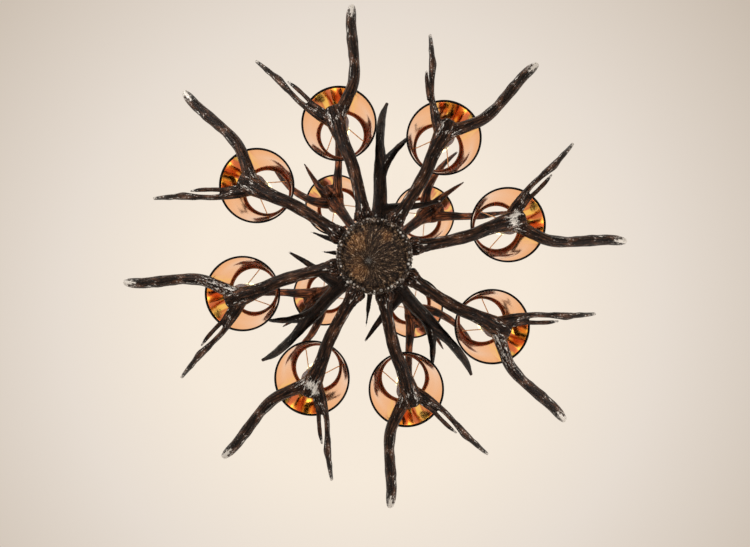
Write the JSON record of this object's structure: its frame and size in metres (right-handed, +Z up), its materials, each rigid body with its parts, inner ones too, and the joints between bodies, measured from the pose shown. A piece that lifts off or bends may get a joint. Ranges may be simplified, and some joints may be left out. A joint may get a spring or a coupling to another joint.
{
  "type": "antler chandelier",
  "caption": "Two-tier hanging chandelier of cast antlers round a hub, with tapered foil-lined shades on candle lampholders, hung by a chain from a ceiling canopy.",
  "frame": {"origin": "middle of the ceiling bracket's top face, on the ceiling", "axes": "+Z up out of the bracket into the ceiling; the chandelier hangs along -Z; the bracket lies along X"},
  "size_m": [1.0034, 1.0041, 0.7355],
  "materials": {
    "antler_resin": "cast resin, dark brown with worn pale ridges, satin gloss",
    "burr_resin": "cast resin, rough fibrous brown",
    "shade_fabric": "black laminated fabric outside",
    "gold_foil": "smooth reflecting copper-gold foil lining",
    "fitter_wire": "thin brassed wire",
    "dark_steel": "dark bronze paint",
    "zinc_steel": "zinc plated",
    "bronze_metal": "antique bronze",
    "candle_sleeve": "ivory candle sleeve",
    "black_plastic": "moulded",
    "bulb_glass": "clear warm glass, lit"
  },
  "bodies": {
    "ceiling_mount": {"ceiling_bracket": "zinc_steel", "canopy": "dark_steel", "canopy_screws": "dark_steel", "lead_bush": "black_plastic", "canopy_loop": "dark_steel", "nipple_nut": "zinc_steel"},
    "link_1": {"chain_link_1": "dark_steel"},
    "link_2": {"chain_link_2": "dark_steel"},
    "link_3": {"chain_link_3": "dark_steel"},
    "link_4": {"chain_link_4": "dark_steel"},
    "chandelier": {"top_loop": "dark_steel", "column": "dark_steel", "column_nuts": "dark_steel", "lower_hub": "dark_steel", "spike_hub": "dark_steel", "upper_hub": "dark_steel", "burr_disc": "burr_resin", "lower_antler_1": "antler_resin", "lower_antler_2": "antler_resin", "lower_antler_3": "antler_resin", "lower_antler_4": "antler_resin", "lower_antler_5": "antler_resin", "lower_antler_6": "antler_resin", "lower_antler_7": "antler_resin", "lower_antler_8": "antler_resin", "upper_antler_1": "antler_resin", "upper_antler_2": "antler_resin", "upper_antler_3": "antler_resin", "upper_antler_4": "antler_resin", "spike_antler_1": "antler_resin", "spike_antler_2": "antler_resin", "spike_antler_3": "antler_resin", "hub_tines": "antler_resin", "lower_drip_cups": "bronze_metal", "lower_lampholders": "candle_sleeve", "lower_shade_nuts": "black_plastic", "lower_bulbs": "bulb_glass", "upper_drip_cups": "bronze_metal", "upper_lampholders": "candle_sleeve", "upper_shade_nuts": "black_plastic", "upper_bulbs": "bulb_glass"},
    "lower_shade_1": {"lower_shade_1": "shade_fabric"},
    "lower_shade_2": {"lower_shade_2": "shade_fabric"},
    "lower_shade_3": {"lower_shade_3": "shade_fabric"},
    "lower_shade_4": {"lower_shade_4": "shade_fabric"},
    "lower_shade_5": {"lower_shade_5": "shade_fabric"},
    "lower_shade_6": {"lower_shade_6": "shade_fabric"},
    "lower_shade_7": {"lower_shade_7": "shade_fabric"},
    "lower_shade_8": {"lower_shade_8": "shade_fabric"},
    "upper_shade_1": {"upper_shade_1": "shade_fabric"},
    "upper_shade_2": {"upper_shade_2": "shade_fabric"},
    "upper_shade_3": {"upper_shade_3": "shade_fabric"},
    "upper_shade_4": {"upper_shade_4": "shade_fabric"}
  },
  "joints": [
    {"name": "link_1_swing", "type": "hinge", "parent": "ceiling_mount", "child": "link_1", "pos_m": [0, 0, -0.069], "axis": [1, 0, 0], "range_deg": [-8, 8]},
    {"name": "link_2_swing", "type": "hinge", "parent": "link_1", "child": "link_2", "pos_m": [0, 0, -0.1027], "axis": [0, 1, 0], "range_deg": [-8, 8]},
    {"name": "link_3_swing", "type": "hinge", "parent": "link_2", "child": "link_3", "pos_m": [0, 0, -0.1364], "axis": [1, 0, 0], "range_deg": [-8, 8]},
    {"name": "link_4_swing", "type": "hinge", "parent": "link_3", "child": "link_4", "pos_m": [0, 0, -0.1701], "axis": [0, 1, 0], "range_deg": [-8, 8]},
    {"name": "chandelier_swing", "type": "hinge", "parent": "link_4", "child": "chandelier", "pos_m": [0, 0, -0.2038], "axis": [1, 0, 0], "range_deg": [-8, 8]},
    {"name": "lower_shade_1_turn", "type": "hinge", "parent": "chandelier", "child": "lower_shade_1", "pos_m": [0.25021, -0.05869, -0.5745], "axis": [0, 0, 1], "continuous": true},
    {"name": "lower_shade_2_turn", "type": "hinge", "parent": "chandelier", "child": "lower_shade_2", "pos_m": [0.13005, -0.22167, -0.5745], "axis": [0, 0, 1], "continuous": true},
    {"name": "lower_shade_3_turn", "type": "hinge", "parent": "chandelier", "child": "lower_shade_3", "pos_m": [-0.06652, -0.24824, -0.5745], "axis": [0, 0, 1], "continuous": true},
    {"name": "lower_shade_4_turn", "type": "hinge", "parent": "chandelier", "child": "lower_shade_4", "pos_m": [-0.22052, -0.13198, -0.5745], "axis": [0, 0, 1], "continuous": true},
    {"name": "lower_shade_5_turn", "type": "hinge", "parent": "chandelier", "child": "lower_shade_5", "pos_m": [-0.24717, 0.07041, -0.5745], "axis": [0, 0, 1], "continuous": true},
    {"name": "lower_shade_6_turn", "type": "hinge", "parent": "chandelier", "child": "lower_shade_6", "pos_m": [-0.11707, 0.22878, -0.5745], "axis": [0, 0, 1], "continuous": true},
    {"name": "lower_shade_7_turn", "type": "hinge", "parent": "chandelier", "child": "lower_shade_7", "pos_m": [0.05956, 0.25, -0.5745], "axis": [0, 0, 1], "continuous": true},
    {"name": "lower_shade_8_turn", "type": "hinge", "parent": "chandelier", "child": "lower_shade_8", "pos_m": [0.22029, 0.13237, -0.5745], "axis": [0, 0, 1], "continuous": true},
    {"name": "upper_shade_1_turn", "type": "hinge", "parent": "chandelier", "child": "upper_shade_1", "pos_m": [0.11343, -0.0935, -0.3145], "axis": [0, 0, 1], "continuous": true},
    {"name": "upper_shade_2_turn", "type": "hinge", "parent": "chandelier", "child": "upper_shade_2", "pos_m": [-0.08888, -0.11709, -0.3145], "axis": [0, 0, 1], "continuous": true},
    {"name": "upper_shade_3_turn", "type": "hinge", "parent": "chandelier", "child": "upper_shade_3", "pos_m": [-0.11662, 0.08949, -0.3145], "axis": [0, 0, 1], "continuous": true},
    {"name": "upper_shade_4_turn", "type": "hinge", "parent": "chandelier", "child": "upper_shade_4", "pos_m": [0.08703, 0.11847, -0.3145], "axis": [0, 0, 1], "continuous": true}
  ]
}
